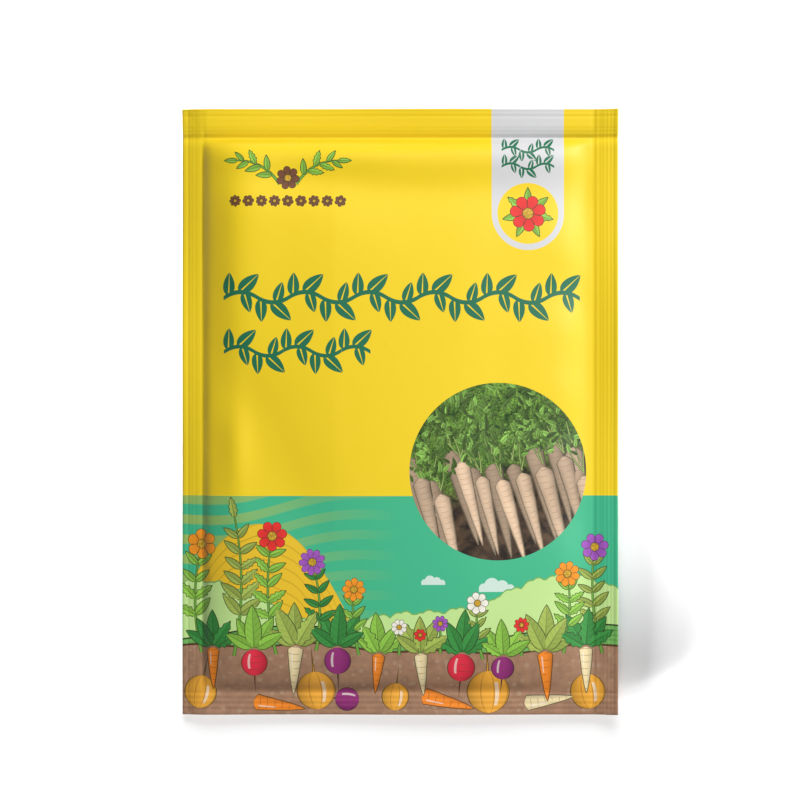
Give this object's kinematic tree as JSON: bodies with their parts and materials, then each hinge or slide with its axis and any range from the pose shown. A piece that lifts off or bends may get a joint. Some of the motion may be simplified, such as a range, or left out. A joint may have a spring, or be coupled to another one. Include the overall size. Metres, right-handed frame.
{
  "type": "seed packet",
  "caption": "Flat sachet of printed film, heat-sealed along its four edges, swollen a little by the flat, winged seeds that it holds.",
  "frame": {"origin": "under the middle of the packet, on the surface that it lies on", "axes": "+X across the packet, to the right of its printed front; +Y up the print, to the top seal; +Z out of the front"},
  "size_m": [0.1, 0.139, 0.0076],
  "materials": {
    "film_front": "printed film with a satin laminate",
    "film_back": "printed film with a satin laminate",
    "seed": "dry, papery, matte"
  },
  "bodies": {
    "root": {"front_panel": "film_front", "back_panel": "film_back", "seed_01": "seed", "seed_02": "seed", "seed_03": "seed", "seed_04": "seed", "seed_05": "seed", "seed_06": "seed", "seed_07": "seed", "seed_08": "seed", "seed_09": "seed", "seed_10": "seed", "seed_11": "seed", "seed_12": "seed", "seed_13": "seed", "seed_14": "seed", "seed_15": "seed", "seed_16": "seed", "seed_17": "seed", "seed_18": "seed", "seed_19": "seed", "seed_20": "seed", "seed_21": "seed", "seed_22": "seed", "seed_23": "seed", "seed_24": "seed", "seed_25": "seed", "seed_26": "seed", "seed_27": "seed", "seed_28": "seed", "seed_29": "seed", "seed_30": "seed", "seed_31": "seed", "seed_32": "seed", "seed_33": "seed", "seed_34": "seed", "seed_35": "seed", "seed_36": "seed", "seed_37": "seed", "seed_38": "seed", "seed_39": "seed", "seed_40": "seed", "seed_41": "seed", "seed_42": "seed", "seed_43": "seed", "seed_44": "seed", "seed_45": "seed", "seed_46": "seed", "seed_47": "seed", "seed_48": "seed"}
  },
  "joints": []
}
